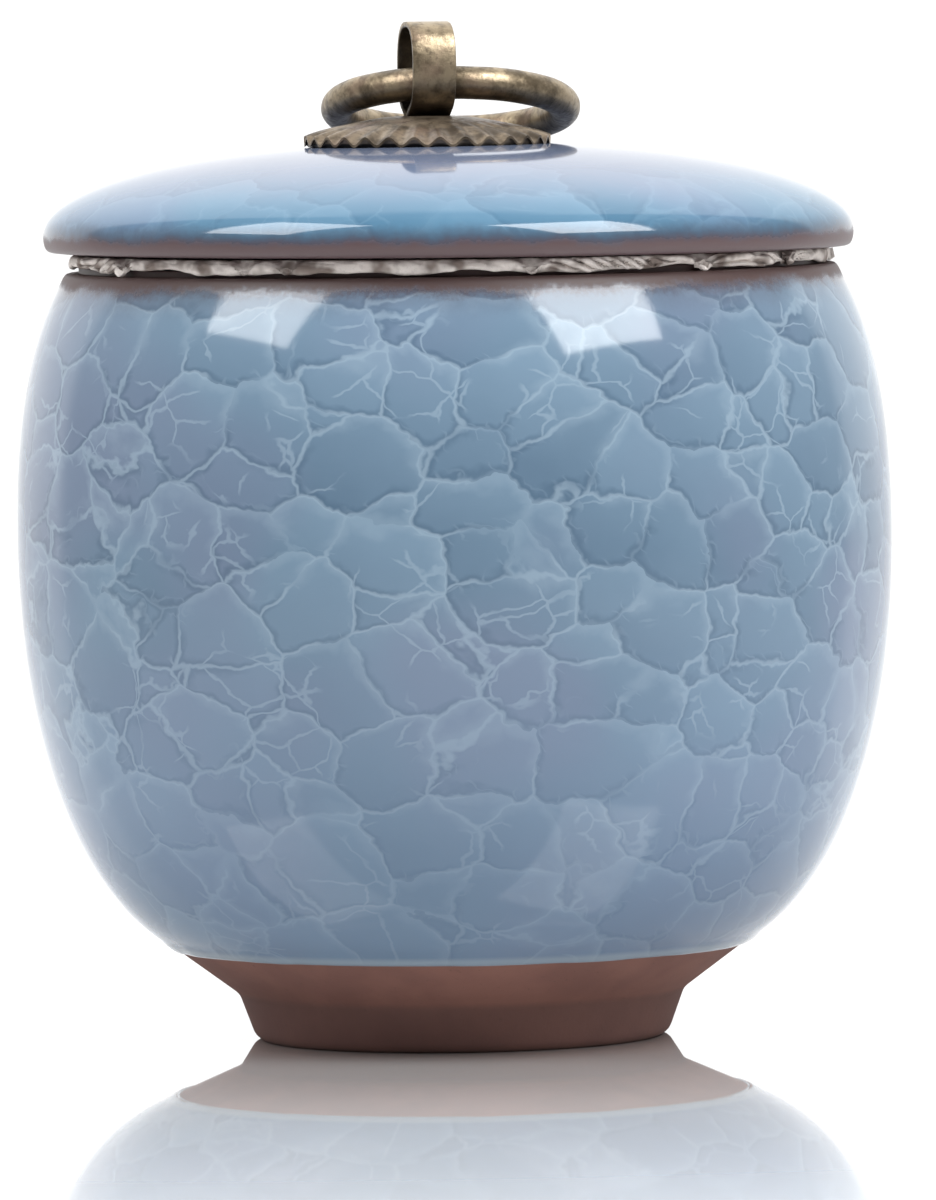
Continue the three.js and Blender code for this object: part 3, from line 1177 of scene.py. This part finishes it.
ringPiece = makeRing()
settle(ringPiece, 1)
ringBrass = brassMaterial("ringBrass", brassTint, ringPaintedShade)
finishPiece(ringPiece, ringBrass, "aged_brass", "ring", "pull_ring")


# Floor, light and camera.
studio = dict(
    floorSize=60,
    floorFoot=(0.64, 0.63, 0.62, 1),
    floorNear=(0.84, 0.84, 0.84, 1),
    floorFar=(0.9, 0.9, 0.9, 1),
    floorTilt=1.8,  # the gloss leans to the camera, which shortens the mirrored foot
    front=0.2,
    sides=0.5,
    behind=1.24,
    above=1.78,
    behindHalfWidth=54,
    boxDistance=0.9,
    boxTarget=0.08,
    leftBox=dict(azimuth=-63, elevation=48, width=0.42, height=0.6, power=6.2),
    rightBox=dict(azimuth=48, elevation=47, width=0.46, height=0.6, power=9.2),
)


def makeFloor():
    bpy.ops.mesh.primitive_plane_add(size=studio["floorSize"])
    floor = bpy.context.object
    floor.name = "studioFloor"
    material, tree, shader, place = newMaterial("whiteGloss")
    dust = cloud(tree, place, 40, 2.0).outputs[0]
    tree.links.new(fade(tree, dust, 0.3, 0.7, 0.02, 0.04), shader.inputs["Roughness"])
    parts = add(tree, "ShaderNodeSeparateXYZ", {0: place})

    # the object's soft shadow deepens the floor near the foot
    reach = add(tree, "ShaderNodeVectorMath", {0: place}, operation="LENGTH").outputs["Value"]
    colour = mix(tree, fade(tree, reach, 0.045, 0.1), studio["floorFoot"], studio["floorNear"])
    colour = mix(tree, fade(tree, reach, 0.1, 0.3), colour, studio["floorFar"])
    tree.links.new(colour, shader.inputs["Base Color"])
    tree.links.new(fade(tree, reach, 0.13, 0.3, 1.0, 0.4), shader.inputs["Coat Weight"])
    slope = math.tan(math.radians(studio["floorTilt"]))
    height = maths(tree, "MULTIPLY", parts.outputs["Y"], slope)
    lean = add(tree, "ShaderNodeBump", {"Height": height, "Strength": 1.0, "Distance": 1.0})
    tree.links.new(lean.outputs[0], shader.inputs["Normal"])
    tree.links.new(lean.outputs[0], shader.inputs["Coat Normal"])
    floor.data.materials.append(material)


def makeWorld():
    # white behind and above the object, dim on the camera's side
    world = bpy.data.worlds.new("studio")
    bpy.context.scene.world = world
    world.use_nodes = True
    tree = world.node_tree
    way = tree.nodes.new("ShaderNodeTexCoord").outputs["Generated"]
    parts = add(tree, "ShaderNodeSeparateXYZ", {0: way})
    rise = parts.outputs["Z"]
    flat = maths(tree, "SQRT", maths(tree, "SUBTRACT", 1.0, maths(tree, "POWER", rise, 2.0)))
    facing = maths(tree, "DIVIDE", parts.outputs["Y"], flat)
    edge = math.cos(math.radians(studio["behindHalfWidth"]))
    within = fade(tree, facing, edge - 0.06, edge + 0.06)
    below = fade(tree, rise, 0.93, 0.99, 1.0, 0.0)
    amount = maths(tree, "MULTIPLY", within, below)
    low = (studio["behind"],) * 3 + (1,)
    high = (studio["above"],) * 3 + (1,)
    bright = mix(tree, fade(tree, rise, 0.2, 0.8), low, high)
    front = (studio["front"],) * 3 + (1,)
    sides = (studio["sides"],) * 3 + (1,)
    dim = mix(tree, fade(tree, facing, -0.8, 0.2), front, sides)
    colour = mix(tree, amount, dim, bright)
    tree.links.new(colour, tree.nodes["Background"].inputs["Color"])


def makeSoftbox(name, box):
    azimuth = math.radians(box["azimuth"])
    rise = math.radians(box["elevation"])
    target = Vector((0, 0, studio["boxTarget"]))
    way = Vector(
        (
            math.sin(azimuth) * math.cos(rise),
            -math.cos(azimuth) * math.cos(rise),
            math.sin(rise),
        )
    )
    light = bpy.data.lights.new(name, "AREA")
    light.shape = "RECTANGLE"
    light.size = box["width"]
    light.size_y = box["height"]
    light.energy = box["power"]
    lamp = bpy.data.objects.new(name, light)
    bpy.context.collection.objects.link(lamp)
    lamp.location = target + way * studio["boxDistance"]
    lamp.rotation_euler = (-way).to_track_quat("-Z", "Y").to_euler()


view = dict(place=(0, -1437, 124), target=(1.4, 0, 50), lens=377.1, roll=-0.9)


def makeCamera():
    camera = bpy.data.objects.new("camera", bpy.data.cameras.new("camera"))
    bpy.context.collection.objects.link(camera)
    camera.data.lens = view["lens"]
    camera.data.sensor_width = 36
    camera.data.clip_end = 100
    camera.location = Vector(view["place"]) * mm
    way = (Vector(view["target"]) - Vector(view["place"])).to_track_quat("-Z", "Y")
    roll = Quaternion((0, 0, 1), math.radians(view["roll"]))
    camera.rotation_euler = (way @ roll).to_euler()
    bpy.context.scene.camera = camera


makeFloor()
makeWorld()
makeSoftbox("softboxLeft", studio["leftBox"])
makeSoftbox("softboxRight", studio["rightBox"])
makeCamera()
bpy.context.scene.view_settings.view_transform = "Standard"
print("studio ready")
